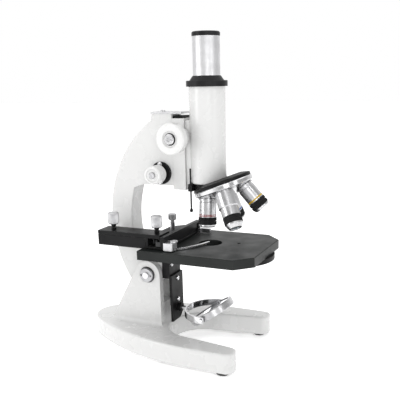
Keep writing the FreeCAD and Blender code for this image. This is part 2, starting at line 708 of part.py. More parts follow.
def stage_plate():
    body = new_body("stage_plate")
    half = d.stage_half
    front = -d.stage_front
    cut = d.stage_corner
    outline = [(-half + cut, front), (half - cut, front), (half, front + cut),
               (half, d.stage_back), (-half, d.stage_back), (-half, front + cut)]
    pad(body, [outline, circle(0, 0, d.aperture), circle(d.disc_x, -d.disc_front, d.disc_pin)],
        d.stage_bottom, d.stage_top)
    round_edges(body, d.stage_edge, lambda edge: near_value(mid(edge).z, d.stage_top)
                and edge.Curve.TypeId == "Part::GeomLine", "Chamfer")
    keep("stage_plate", body, place())


def stage_bracket():
    body = new_body("stage_bracket")
    half = d.bracket_half
    side = [(d.bracket_face, d.bracket_foot), (d.bracket_back, d.bracket_foot),
            (d.bracket_back, d.stage_bottom), (d.shelf_front, d.stage_bottom),
            (d.shelf_front, d.stage_bottom - d.shelf_depth),
            (d.bracket_face, d.stage_bottom - d.shelf_depth - 6)]
    pad(body, [side], -half, half, "YZ_Plane")
    link = d.lug_link_half
    pad(body, [rectangle(d.bracket_back - 1, d.pivot_height + 14, d.seat_front,
                         d.stage_bottom)], -link, link, "YZ_Plane")
    strip = d.strip_half
    pad(body, [rectangle(d.bracket_face, d.strip_foot, d.strip_back, d.bracket_foot + 1)],
        -strip, strip, "YZ_Plane")
    keep("stage_bracket", body, place())


def mirror_plate():
    body = new_body("mirror_plate")
    half = d.mirror_plate_half
    low = d.mirror_plate_low
    cut = d.mirror_plate_corner
    outline = [(-half, low), (half - 2 * cut, low), (half, low + 2 * cut),
               (half, d.mirror_plate_high), (-half, d.mirror_plate_high)]
    face = d.bracket_face - d.mirror_plate_thickness
    stem = d.stem_radius + d.running_gap
    # The sketch plane faces -Y, so distances along it are the opposite of Y.
    pad(body, [outline, circle(0, d.stem_height, stem)], -d.bracket_face, -face, "XZ_Plane")
    pad(body, [circle(0, d.stem_height, d.boss_radius), circle(0, d.stem_height, stem)],
        -face, d.boss_length - face, "XZ_Plane")
    keep("mirror_plate", body, place())


def diaphragm():
    body = new_body("diaphragm_disc")
    top = d.stage_bottom - d.disc_gap
    low = top - d.disc_thickness
    bore = d.disc_pin + d.running_gap
    turn(body, [(bore, low), (d.disc_radius - d.disc_rim_wall, low),
                (d.disc_radius - d.disc_rim_wall, top - d.disc_rim),
                (d.disc_radius, top - d.disc_rim), (d.disc_radius, top), (bore, top)])
    towards_axis = math.degrees(math.atan2(value(d.disc_front), -value(d.disc_x)))
    holes = []
    for index, radius in enumerate(DISC_HOLES):
        angle = lift(towards_axis + 360 * index / len(DISC_HOLES))
        holes.append(circle(d.disc_hole_pitch * cosine(angle), d.disc_hole_pitch * sine(angle),
                            radius))
    pocket(body, holes, low - 1, top + 1)
    keep("diaphragm_disc", body, place(d.disc_x, -d.disc_front))
    head = low - 0.2
    pin = [(0, head - d.disc_pin_head_height), (d.disc_pin_head, head - d.disc_pin_head_height),
           (d.disc_pin_head, head), (d.disc_pin, head), (d.disc_pin, d.stage_top - 0.6),
           (0, d.stage_top - 0.6)]
    turned("diaphragm_pin", pin, place(d.disc_x, -d.disc_front))


# ---- fine and coarse focus ------------------------------------------------------------------

def fine_focus():
    end = d.fine_shaft_end
    shoulder = d.fine_hub_end - 1
    shaft = [(0, -end), (d.fine_shaft_tip, -end), (d.fine_shaft_tip, -shoulder),
             (d.fine_shaft, -shoulder), (d.fine_shaft, shoulder), (d.fine_shaft_tip, shoulder),
             (d.fine_shaft_tip, end), (0, end)]
    turned("fine_shaft", shaft, place(0, d.fine_back, d.fine_height, ALONG_X))
    start = d.arm_width / 2 + d.flange_thickness + 0.3
    rim = d.fine_knob
    knob = [(d.fine_shaft, start), (d.fine_hub, start), (d.fine_hub, d.fine_hub_end),
            (rim - d.knob_chamfer, d.fine_hub_end), (rim, d.fine_hub_end + d.knob_chamfer),
            (rim, d.fine_knob_end - d.knob_chamfer), (rim - d.knob_chamfer, d.fine_knob_end),
            (rim - 2 * d.knob_chamfer, d.fine_knob_end),
            (rim - 3 * d.knob_chamfer, d.fine_knob_end - d.fine_knob_dish),
            (d.fine_shaft_tip, d.fine_knob_end - d.fine_knob_dish),
            (d.fine_shaft_tip, shoulder), (d.fine_shaft, shoulder)]
    add_pair("fine_knobs", knob, d.fine_back, d.fine_height)


def focus_block():
    body = new_body("focus_block")
    half = d.block_half
    mouth = d.channel_mouth
    back = d.channel_back
    depth = d.block_front + d.channel_depth
    section = [(-half, d.block_front), (-mouth, d.block_front), (-back, depth), (back, depth),
               (mouth, d.block_front), (half, d.block_front), (half, d.block_back),
               (-half, d.block_back)]
    pad(body, [section], d.block_bottom, d.block_top)
    tongue = d.tongue_half
    pad(body, [rectangle(-tongue, d.block_back - 1, tongue, d.block_back + d.tongue_depth)],
        d.tongue_low, d.tongue_high)
    bore = d.coarse_shaft + d.running_gap
    pocket(body, [circle(d.coarse_back, d.coarse_height, bore)], -half - 1, half + 1, "YZ_Plane")
    room = d.pinion_room_half
    pocket(body, [circle(d.coarse_back, d.coarse_height, d.pinion_room)], -room, room,
           "YZ_Plane")
    keep("focus_block", body, place())
    top = d.block_top
    wide = d.top_plate_half
    plate("block_top_plate", [rectangle(-wide, d.top_plate_front, wide, d.block_back)],
          top, top + d.top_plate_height, place())
    add_pair("coarse_bushes", [(bore, half), (d.bush_radius, half),
                               (d.bush_radius, d.bush_end - 1), (d.bush_radius - 1, d.bush_end),
                               (bore, d.bush_end)], d.coarse_back, d.coarse_height)


def coarse_focus():
    end = d.coarse_knob_end + 1.2
    shaft = [(0, -end), (d.coarse_shaft, -end), (d.coarse_shaft, end), (0, end)]
    turned("coarse_shaft", shaft, place(0, d.coarse_back, d.coarse_height, ALONG_X))
    rim = d.coarse_knob
    start = d.coarse_knob_start
    face = d.coarse_knob_end
    dish = face - d.coarse_dish_depth
    knob = [(d.coarse_shaft, start), (rim - d.knob_chamfer, start), (rim, start + d.knob_chamfer),
            (rim, face - d.knob_chamfer), (rim - d.knob_chamfer, face),
            (d.coarse_dish + 1, face), (d.coarse_dish, dish), (d.coarse_ring, dish),
            (d.coarse_ring - 0.5, face - 0.6), (d.coarse_shaft, face - 0.6)]
    add_pair("coarse_knobs", knob, d.coarse_back, d.coarse_height)
    nut_low = face - 0.6
    nut_high = nut_low + d.coarse_nut_height
    nuts = []
    for name, rotation in (("near", FreeCAD.Rotation(Z_AXIS, 180).multiply(ALONG_X)),
                           ("far", ALONG_X)):
        body = new_body(f"coarse_nut_{name}")
        turn(body, [(d.coarse_shaft, nut_low), (d.coarse_nut, nut_low),
                    (d.coarse_nut, nut_high - 0.7), (d.coarse_nut - 0.7, nut_high),
                    (d.coarse_shaft, nut_high)])
        pocket(body, [rectangle(-d.coarse_nut - 1, -0.6, d.coarse_nut + 1, 0.6)],
               nut_high - 0.9, nut_high + 1)
        body.Placement = place(0, d.coarse_back, d.coarse_height, rotation)
        nuts.append(body)
    group("coarse_nuts", nuts)
    half = value(d.pinion_half)
    pinion = gear_shape(value(d.gear_step), value(d.gear_teeth), value(d.coarse_shaft), 2 * half)
    towards_rack = ALONG_X.multiply(FreeCAD.Rotation(Z_AXIS, 180))
    shaped("coarse_pinion", pinion, place(-half, d.coarse_back, d.coarse_height, towards_rack))


# ---- tube -----------------------------------------------------------------------------------

def tube_carriage():
    body = new_body("tube_carriage")
    half = d.carriage_half
    back = d.carriage_back
    mouth = d.carriage_tongue_mouth
    wide = d.carriage_tongue_back
    deep = back + d.carriage_tongue_depth
    slot = d.rack_slot_half
    section = [(-half, d.carriage_front), (half, d.carriage_front), (half, back), (mouth, back),
               (wide, deep), (-wide, deep), (-mouth, back), (-half, back)]
    pad(body, [section], d.carriage_low, d.carriage_high)
    pocket(body, [rectangle(-slot, d.carriage_front - 1, slot, deep + 1)],
           d.rack_low - d.rack_slot_end, d.rack_high + d.rack_slot_end)
    radius = d.tube_radius + d.tube_turn_gap
    pocket(body, [circle(0, 0, radius)], d.carriage_low - 1, d.carriage_high + 1)
    keep("tube_carriage", body, place())
    low = value(d.rack_low - d.coarse_height)
    high = value(d.rack_high - d.coarse_height)
    depth = value(d.rack_half) * 2
    foot = value(d.rack_pitch_line - d.rack_foot)
    rack = rack_shape(value(d.gear_step), foot, low, high, depth)
    # The rack's own X points back (+Y), its own Y up and its own Z to the far side.
    turn_up = FreeCAD.Rotation(FreeCAD.Vector(0, 1, 0), FreeCAD.Vector(0, 0, 1),
                               FreeCAD.Vector(1, 0, 0), "XYZ")
    shaped("tube_rack", rack, place(-d.rack_half, d.rack_pitch_line, d.coarse_height, turn_up))


def tube_parts():
    body = new_body("body_tube")
    turn(body, [(d.tube_bore, d.tube_bottom), (d.tube_radius, d.tube_bottom),
                (d.tube_radius, d.tube_top), (d.tube_bore, d.tube_top)])
    round_edges(body, d.tube_edge_round, lambda edge: near_value(mid(edge).z, d.tube_bottom)
                and edge.Curve.TypeId == "Part::GeomCircle"
                and near_value(edge.Curve.Radius, d.tube_radius))
    keep("body_tube", body, place())
    fit = d.tube_turn_gap
    collar = [(d.draw_radius + fit, d.tube_top - d.collar_spigot),
              (d.tube_bore - fit, d.tube_top - d.collar_spigot), (d.tube_bore - fit, d.tube_top),
              (d.collar_radius, d.tube_top), (d.collar_radius, d.collar_top - 0.5),
              (d.collar_radius - 0.5, d.collar_top), (d.cone_low, d.collar_top),
              (d.cone_high, d.cone_top), (d.draw_radius + fit, d.cone_top)]
    turned("tube_collar", collar, place())
    turned("draw_tube", [(d.draw_bore, d.draw_low), (d.draw_radius, d.draw_low),
                         (d.draw_radius, d.draw_top), (d.draw_bore, d.draw_top)], place())
    rod = [(0, d.rod_low - 2 * d.ball_radius + 0.2),
           (d.ball_radius * 0.7, d.rod_low - d.ball_radius * 1.7),
           (d.ball_radius, d.rod_low - d.ball_radius),
           (d.ball_radius * 0.7, d.rod_low - d.ball_radius * 0.3), (d.rod_radius, d.rod_low),
           (d.rod_radius, d.rod_high), (0, d.rod_high)]
    turned("stop_rod", rod, place(-d.rod_x, d.rod_back))
    half = d.rod_block_half
    clip = new_body("stop_rod_clip")
    pad(clip, [rectangle(-d.rod_x - half, d.rod_back - half, -d.rod_x + d.rod_block_reach,
                         d.rod_back + half), circle(-d.rod_x, d.rod_back, d.rod_radius)],
        d.rod_block_low, d.rod_block_high)
    keep("stop_rod_clip", clip, place())


def eyepiece():
    top = d.draw_top
    cap_top = top + d.eye_cap_height
    bore = d.eye_bore
    step = d.eye_cap_step
    cap = [(d.eye_barrel, top), (d.eye_cap_radius - 0.4, top), (d.eye_cap_radius, top + 0.4),
           (d.eye_cap_radius, cap_top - step), (d.eye_cap_radius - step, cap_top),
           (d.eye_window + 2.5, cap_top), (d.eye_window, cap_top - 1.6),
           (d.eye_window, cap_top - 2.4), (d.eye_barrel, cap_top - 2.4)]
    turned("eyepiece_cap", cap, place())
    barrel_top = cap_top - 2.4
    turned("eyepiece_barrel", [(bore, d.eye_low), (d.eye_barrel, d.eye_low),
                               (d.eye_barrel, barrel_top), (bore, barrel_top)], place())
    lens = [(0, 0), (bore, 0), (bore, d.lens_thickness * 0.5), (bore * 0.6, d.lens_thickness),
            (0, d.lens_thickness)]
    lens_spots = [place(0, 0, d.eye_low + d.field_lens_up),
                  place(0, 0, barrel_top - d.lens_thickness)]
    repeated("eyepiece_lenses", lens, lens_spots)


# ---- nosepiece ------------------------------------------------------------------------------

def nose_rotation():
    return FreeCAD.Rotation(X_AXIS, -value(d.nose_tilt))


def nose_place(rotation=UPRIGHT, x=0.0, y=0.0, z=0.0):
    """Placement in the tilted nosepiece's own frame: its centre on the objective seat plane."""
    tilt = math.radians(value(d.nose_tilt))
    pitch = value(d.nose_pitch)
    centre = FreeCAD.Vector(0, -pitch * math.cos(tilt),
                            value(d.nose_seat) + pitch * math.sin(tilt))
    own = nose_rotation().multVec(FreeCAD.Vector(x, y, z)) + centre
    return place(own.x, own.y, own.z, nose_rotation().multiply(rotation))


def objective_place(angle):
    """Seat placement of the objective at an angle round the nosepiece.

    90 is on the optical axis; at rest the turret stands a little past its click position.
    """
    angle = angle + value(d.nose_turn)
    pitch = value(d.nose_pitch)
    swing = FreeCAD.Rotation(Z_AXIS, angle - 90)
    lean = FreeCAD.Rotation(X_AXIS, value(d.nose_tilt))
    x = pitch * math.cos(math.radians(angle))
    y = pitch * math.sin(math.radians(angle))
    return nose_place(swing.multiply(lean), x, y)


OBJECTIVE_ANGLES = {"red": 90, "yellow": 270, "blue": 0, "oil": 180}


def nosepiece():
    slope = tangent(d.nose_tilt)
    radius = d.nose_radius
    bore = d.nose_pivot + d.running_gap
    under = (d.nose_core - d.nose_pitch) * slope
    rim = (radius - 1 - d.nose_pitch) * slope
    ring = new_body("nosepiece_ring_blank")
    turn(ring, [(bore, under), (d.nose_core, under), (radius - 1, rim), (radius, rim + 0.8),
                (radius, d.nose_top - d.nose_bevel), (radius - d.nose_bevel, d.nose_top),
                (bore, d.nose_top)])
    ring.Placement = nose_place()
    bores = []
    for name, angle in OBJECTIVE_ANGLES.items():
        spot = objective_place(angle)
        offset = FreeCAD.Placement(FreeCAD.Vector(0, 0, -6), FreeCAD.Rotation())
        bores.append(cylinder(f"ring_bore_{name}", d.thread_radius, 26, spot.multiply(offset)))
    keep("nosepiece_ring", subtract("nosepiece_ring_cut", ring, fuse("ring_bores", bores)))
    low = d.nose_top + d.nose_gap
    top = low + d.plate_thickness
    crown = new_body("nosepiece_crown")
    turn(crown, [(0, low), (d.plate_radius, low), (d.plate_radius, top - 0.6),
                 (d.plate_radius - 0.6, top), (d.plate_crown, top + d.plate_rise),
                 (0, top + d.plate_rise)])
    crown.Placement = nose_place()
    neck = cylinder("nosepiece_neck", d.neck_radius, d.tube_bottom - d.nose_seat + 3,
                    place(0, 0, d.nose_seat - 3))
    wide = 200
    below = block("below_plate", wide, wide, 60, nose_place(UPRIGHT, -wide / 2, -wide / 2,
                                                            value(low) - 60))
    above = cylinder("above_neck", d.tube_radius + d.running_gap, 60, place(0, 0, d.tube_bottom))
    whole = fuse("crown_and_neck", [crown, subtract("neck_trimmed", neck, below)])
    trimmed = subtract("crown_trimmed", whole, above)
    light = cylinder("light_way", d.light_bore, 60, place(0, 0, d.nose_seat - 10))
    pin_hole = cylinder("pin_hole", d.nose_pivot, 5, nose_place(UPRIGHT, 0, 0, value(low) - 1))
    keep("nosepiece_mount", subtract("mount_bored", trimmed,
                                     fuse("mount_bores", [light, pin_hole])))
    head_top = under - 0.3
    pin_top = low + 4
    pin = new_body("nosepiece_pin")
    turn(pin, [(0, head_top - d.pivot_head_height),
               (d.pivot_head - 1, head_top - d.pivot_head_height),
               (d.pivot_head, head_top - 1), (d.pivot_head, head_top),
               (d.nose_pivot, head_top), (d.nose_pivot, pin_top), (0, pin_top)])
    pin.Placement = nose_place()
    # The tube's front wall stands over the pin, so the pin's back is relieved to clear it.
    clear = cylinder("pin_relief", d.tube_radius + d.running_gap, 60, place(0, 0, d.tube_bottom))
    keep("nosepiece_pivot", subtract("nosepiece_pin_relieved", pin, clear))


def objective_barrel(name, length):
    """Barrel turned as one piece: thread, shoulder, body, core under the grip, and nose."""
    grip_low = -length + (d.oil_grip_above_tip if name == "oil" else d.grip_above_tip)
    grip_high = grip_low + d.grip_height
    bore = d.core_bore
    path = [(bore, d.thread_length), (bore, -length)]
    if name == "oil":
        path += [(d.oil_tip_end, -length), (d.oil_tip_end + 1.5, -length + 2.5),
                 (d.tip_radius, grip_low - 1.5), (d.tip_radius, grip_low)]
    else:
        path += [(d.tip_end, -length), (d.tip_radius, -length + 1.2), (d.tip_radius, grip_low)]
    path += [(d.core_radius, grip_low), (d.core_radius, grip_high)]
    if name == "oil":
        step = -d.oil_step
        path += [(d.oil_waist, grip_high), (d.oil_waist, step), (d.oil_barrel - 0.8, step),
                 (d.oil_barrel, step + 0.8), (d.oil_barrel, -d.shoulder_height)]
    else:
        path += [(d.barrel_radius, grip_high), (d.barrel_radius, -d.shoulder_height - 2),
                 (d.barrel_radius - 0.5, -d.shoulder_height - 1.6),
                 (d.barrel_radius - 0.5, -d.shoulder_height)]
    path += [(d.shoulder_radius, -d.shoulder_height), (d.shoulder_radius, -0.05),
             (d.thread_radius - 0.05, -0.05), (d.thread_radius - 0.05, d.thread_length)]
    return path, grip_low, grip_high


def objectives():
    lengths = {"red": d.red_length, "yellow": d.yellow_length, "blue": d.blue_length,
               "oil": d.oil_length}
    grips = []
    lenses = []
    for name, angle in OBJECTIVE_ANGLES.items():
        spot = objective_place(angle)
        length = lengths[name]
        path, grip_low, grip_high = objective_barrel(name, length)
        turned(f"objective_{name}", path, spot)
        grip = new_body(f"grip_{name}")
        turn(grip, [(d.core_radius, grip_low), (d.grip_radius - 0.4, grip_low),
                    (d.grip_radius, grip_low + 0.4), (d.grip_radius, grip_high - 0.4),
                    (d.grip_radius - 0.4, grip_high), (d.core_radius, grip_high)])
        grip.Placement = spot
        grips.append(grip)
        lens = new_body(f"front_lens_{name}")
        turn(lens, [(0, 0.6 - length), (d.core_bore, 0.6 - length),
                    (d.core_bore, 0.6 - length + d.front_lens_thickness),
                    (0, 0.6 - length + d.front_lens_thickness)])
        lens.Placement = spot
        lenses.append(lens)
    group("objective_grips", grips)
    group("objective_lenses", lenses)


# ---- mirror ---------------------------------------------------------------------------------

def mirror():
    yoke = new_body("mirror_yoke")
    outer = d.yoke_outer
    inner = outer - d.yoke_wall
    half = d.yoke_half_height
    arm = d.yoke_arm
    band = [(-outer, -arm), (-inner, -arm), (-inner, 0, -inner - 0.001), (inner, 0),
            (inner, -arm), (outer, -arm), (outer, 0, outer + 0.001), (-outer, 0)]
    pad(yoke, [band], -half, half)
    pocket(yoke, [circle(0, 0, d.mirror_pin + d.running_gap)], -outer - 1, outer + 1, "YZ_Plane")
    stem = cylinder("yoke_stem", d.stem_radius, d.stem_back - d.stem_front,
                    place(0, d.stem_back, d.stem_height, FreeCAD.Rotation(X_AXIS, 90)))
    yoke.Placement = place(0, 0, d.stem_height)
    keep("mirror_yoke", fuse("mirror_yoke_whole", [yoke, stem]))
    lean = FreeCAD.Rotation(X_AXIS, -value(d.mirror_tilt))
    cell_spot = place(0, 0, d.stem_height, lean)
    cell = new_body("mirror_cell")
    deep = d.cell_half_height
    web = d.web_half
    lip = d.cell_lip
    turn(cell, [(0, -web), (d.cell_inner, -web), (d.cell_inner, -web - d.glass_thickness - 0.1),
                (d.cell_inner - lip, -deep), (d.cell_radius - 0.6, -deep),
                (d.cell_radius, -deep + 0.6), (d.cell_radius, deep - 0.6),
                (d.cell_radius - 0.6, deep), (d.cell_inner - lip, deep),
                (d.cell_inner, web + d.glass_thickness + 0.1), (d.cell_inner, web), (0, web)])
    pocket(cell, [circle(0, 0, d.mirror_pin)], -d.cell_radius - 1, -d.cell_radius + 2, "YZ_Plane")
    pocket(cell, [circle(0, 0, d.mirror_pin)], d.cell_radius - 2, d.cell_radius + 1, "YZ_Plane")
    keep("mirror_cell", cell, cell_spot)
    flat = [(0, web), (d.glass_radius, web), (d.glass_radius, web + d.glass_thickness),
            (0, web + d.glass_thickness)]
    turned("mirror_plane_glass", flat, cell_spot)
    disc_low = -web - d.glass_thickness
    disc = cylinder("hollow_glass_disc", d.glass_radius, d.glass_thickness,
                    cell_spot.multiply(FreeCAD.Placement(
                        FreeCAD.Vector(0, 0, value(disc_low)), UPRIGHT)))
    hollow = doc.addObject("Part::Sphere", "hollow_glass_ball")
    hollow.Radius = d.concave_radius.value
    hollow.setExpression("Radius", d.concave_radius.text)
    centre = value(disc_low + d.concave_depth - d.concave_radius)
    hollow.Placement = cell_spot.multiply(FreeCAD.Placement(
        FreeCAD.Vector(0, 0, centre), FreeCAD.Rotation(X_AXIS, 90)))
    keep("mirror_hollow_glass", subtract("hollow_glass_cut", disc, hollow))
    reach = d.cell_radius - 1.8
    pin = [(0, reach), (d.mirror_pin, reach), (d.mirror_pin, outer + 0.1),
           (d.mirror_pin_head, outer + 0.1), (d.mirror_pin_head, outer + 0.1 +
                                              d.mirror_pin_head_height),
           (0, outer + 0.1 + d.mirror_pin_head_height)]
    add_pair("mirror_pins", pin, 0, d.stem_height)


# ---- mechanical stage -----------------------------------------------------------------------

def mechanical_stage_fixed():
    near = -d.rail_near
    far = -d.rail_far
    wall = d.rail_wall
    body = new_body("mech_rail")
    pad(body, [rectangle(near, d.rail_front, far, d.rail_back)], d.rail_low, d.rail_high)
    pocket(body, [rectangle(near + wall, d.rail_front - 1, far - wall, d.rail_back + 1)],
           d.rail_low + wall, d.rail_high + 1)
    keep("mech_rail", body, place())
    gear_radius = value(d.small_step * d.gear_teeth / 2)
    line = -value(d.knob_axis_x) - gear_radius
    foot = line - value(near + wall)
    low = value(d.rail_rack_front - d.y_knob_back)
    high = value(d.rail_rack_back - d.y_knob_back)
    rack = rack_shape(value(d.small_step), foot, low, high, value(d.pinion_high - d.rail_low
                                                                 - wall))
    shaped("mech_rail_rack", rack, place(line, d.y_knob_back, d.rail_low + wall))
    cut = d.plate_corner
    outline = [(-d.plate_near, d.plate_front), (d.plate_far, d.plate_front),
               (d.plate_far, d.plate_back - cut), (d.plate_far - cut, d.plate_back),
               (-d.plate_near, d.plate_back)]
    plate("mech_base_plate", [outline, circle(d.thumb_x, d.thumb_back, d.thumb_stem)],
          d.stage_top, d.plate_top, place())
    head_low = d.thumb_head_low
    head_high = d.thumb_head_high
    turned("mech_thumb_screw", [(0, d.stage_top), (d.thumb_stem, d.stage_top),
                                (d.thumb_stem, d.plate_top), (d.thumb_stem + 0.8, d.plate_top),
                                (d.thumb_stem + 0.8, head_low), (d.thumb_head - 0.6, head_low),
                                (d.thumb_head, head_low + 0.6), (d.thumb_head, head_high - 0.6),
                                (d.thumb_head - 0.6, head_high), (0, head_high)],
           place(d.thumb_x, d.thumb_back))


def mechanical_stage_moving():
    near = -d.rail_near
    far = -d.rail_far
    roof = d.rail_high + d.slide_gap
    body = new_body("mech_slide")
    pad(body, [rectangle(near, d.slide_front, far, d.slide_block_back)], d.slide_block_low, roof)
    room_back = d.slide_block_back - d.slide_roof_wall
    pocket(body, [rectangle(near - 1, d.slide_front - 1, far + 1, room_back)],
           d.slide_block_low + d.slide_roof_wall, roof + 1)
    pad(body, [rectangle(near, d.slide_front, far, d.rail_back)], roof, d.slide_top)
    edge = far - d.rail_wall - d.slide_gap
    pad(body, [rectangle(edge - d.slide_tongue, d.slide_tongue_front, edge, d.rail_back - 1)],
        d.rail_low + d.rail_wall + d.slide_gap, roof)
    bore = d.small_shaft + d.running_gap
    axis = -d.knob_axis_x
    pocket(body, [circle(axis, d.y_knob_back, bore), circle(axis, d.x_knob_back, bore)],
           roof - 1, d.slide_top + 1)
    keep("mech_slide", body, place())
    neck_low = d.slide_top + d.slide_gap
    for name, back in (("y", d.y_knob_back), ("x", d.x_knob_back)):
        rim = d.knurl_radius
        bevel = d.knurl_chamfer
        knob = [(0, d.pinion_low), (d.small_shaft, d.pinion_low), (d.small_shaft, neck_low),
                (d.neck_round, neck_low), (d.neck_round, d.neck_top), (rim - bevel, d.neck_top),
                (rim, d.neck_top + bevel), (rim, d.knurl_top - bevel), (rim - bevel, d.knurl_top),
                (0, d.knurl_top)]
        turned(f"mech_{name}_knob", knob, place(axis, back))
        thickness = value(d.pinion_high - d.pinion_low)
        pinion = gear_shape(value(d.small_step), value(d.gear_teeth), value(d.small_shaft),
                            thickness)
        facing = 180 if name == "y" else -90
        shaped(f"mech_{name}_pinion", pinion, place(axis, back, d.pinion_low,
                                                    FreeCAD.Rotation(Z_AXIS, facing)))


def slide_holder():
    body = new_body("mech_cross_bar")
    pad(body, [rectangle(-d.bar_near, d.bar_front, d.bar_far, d.bar_back)], d.bar_low, d.bar_high)
    pocket(body, [rectangle(-d.bar_recess_near, d.bar_front - 1, d.bar_recess_far,
                            d.bar_front + d.bar_recess)],
           d.bar_low + d.bar_lip, d.bar_high - d.bar_lip)
    keep("mech_cross_bar", body, place())
    gear_radius = value(d.small_step * d.gear_teeth / 2)
    line = value(d.x_knob_back) - gear_radius
    low = value(d.knob_axis_x - d.bar_far)
    high = value(d.knob_axis_x + d.bar_near)
    reach_near = value(d.bar_near - d.knob_axis_x)
    reach_far = value(d.bar_far + d.knob_axis_x) - 4
    rack = rack_shape(value(d.small_step), line - value(d.bar_back), -reach_far, reach_near,
                      value(d.pinion_high - d.pinion_low))
    # The rack's own X points back (+Y) and its own Y to the near side.
    shaped("mech_bar_rack", rack, place(-d.knob_axis_x, line, d.pinion_low,
                                        FreeCAD.Rotation(Z_AXIS, 90)))
    holder = new_body("mech_finger_block")
    front = d.holder_front
    pad(holder, [rectangle(-d.holder_near, front, -d.holder_far, d.bar_front)],
        d.holder_low, d.holder_high)
    middle = (d.holder_low + d.holder_high) / 2
    round_edges(holder, d.holder_round, lambda edge: near_value(mid(edge).y, front)
                and near_value(mid(edge).z, middle))
    pin_x = -d.finger_pin_x
    eye = d.finger_eye + 0.6
    pocket(holder, [rectangle(pin_x - eye, front - 1, -d.holder_far + 1,
                              d.finger_pin_front + eye)],
           d.holder_low - 1, d.finger_high + d.finger_slot_gap)
    pad(holder, [circle(pin_x, d.finger_pin_front, d.finger_pin)],
        d.finger_low, d.finger_high + d.finger_slot_gap + 1)
    keep("mech_finger_block", holder, place())
    finger = new_body("mech_finger")
    pad(finger, [circle(0, 0, d.finger_eye)], d.finger_low, d.finger_high)
    tip_x = d.finger_pin_x - d.finger_tip_x
    tip_y = d.finger_tip_front - d.finger_pin_front
    width = d.finger_half
    strip = [(0, -width - 1, d.finger_radius), (tip_x, tip_y - width), (tip_x + 1.5, tip_y),
             (tip_x, tip_y + width, -d.finger_radius), (0, width - 1)]
    pad(finger, [strip], d.finger_low, d.finger_high)
    pocket(finger, [circle(0, 0, d.finger_pin + d.running_gap)], d.finger_low - 1,
           d.finger_high + 1)
    keep("mech_finger", finger, place(pin_x, d.finger_pin_front))
    far = d.corner_x
    toe = far - d.corner_toe - d.corner_width
    corner = [(toe, d.bar_front - 3), (far - d.corner_width, d.bar_front - 3),
              (far - d.corner_width, d.corner_front), (far, d.corner_front), (far, d.bar_front),
              (toe, d.bar_front)]
    plate("mech_corner", [corner], d.holder_low, d.corner_high, place())


# ---- build ----------------------------------------------------------------------------------

base_casting()
base_fittings()
arm_casting()
screw_spots = arm_fittings()
stage_plate()
stage_bracket()
mirror_plate()
screw_holes("arm_casting", screw_spots)
screw_holes("fine_flanges", screw_spots[1:5])
screw_holes("mirror_plate", screw_spots[5:7])
screw_holes("stage_bracket", screw_spots[5:])
diaphragm()
fine_focus()
focus_block()
coarse_focus()
tube_carriage()
tube_parts()
eyepiece()
nosepiece()
objectives()
mirror()
mechanical_stage_fixed()
mechanical_stage_moving()
slide_holder()

doc.recompute()
faults = [item.Label for item in doc.Objects if {"Invalid", "Error"} & set(item.State)]
for label, item in nodes.items():
    if item.Shape.isNull() or not item.Shape.isValid():
        faults.append(label)
if faults:
    raise RuntimeError("faulty objects: " + ", ".join(sorted(set(faults))))

os.makedirs("parts", exist_ok=True)
for label, item in nodes.items():
    item.Shape.exportStep(os.path.join("parts", f"{label}.step"))
print("nodes:", len(nodes))
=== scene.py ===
import json
import math

import bpy
from mathutils import Matrix, Vector


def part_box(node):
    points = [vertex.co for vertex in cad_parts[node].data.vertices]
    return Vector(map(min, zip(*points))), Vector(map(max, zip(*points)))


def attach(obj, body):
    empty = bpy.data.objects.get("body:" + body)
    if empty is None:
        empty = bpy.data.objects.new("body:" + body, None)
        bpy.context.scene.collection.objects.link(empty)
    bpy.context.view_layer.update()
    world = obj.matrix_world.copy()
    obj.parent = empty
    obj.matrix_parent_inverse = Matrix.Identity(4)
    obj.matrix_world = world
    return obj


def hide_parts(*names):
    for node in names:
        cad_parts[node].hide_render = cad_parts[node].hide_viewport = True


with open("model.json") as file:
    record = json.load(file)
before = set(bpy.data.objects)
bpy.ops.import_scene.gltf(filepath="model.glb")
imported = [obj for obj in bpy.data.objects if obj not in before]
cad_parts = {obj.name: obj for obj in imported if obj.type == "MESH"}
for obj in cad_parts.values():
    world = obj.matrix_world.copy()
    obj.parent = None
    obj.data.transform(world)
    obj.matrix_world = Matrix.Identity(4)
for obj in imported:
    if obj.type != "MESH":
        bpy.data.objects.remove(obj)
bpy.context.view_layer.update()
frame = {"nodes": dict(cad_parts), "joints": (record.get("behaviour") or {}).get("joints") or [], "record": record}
nodes = frame["nodes"]
joints = {joint["name"]: joint for joint in frame["joints"]}

MM = 0.001
UP = Vector((0.0, 0.0, 1.0))


# ---- materials ------------------------------------------------------------------------------

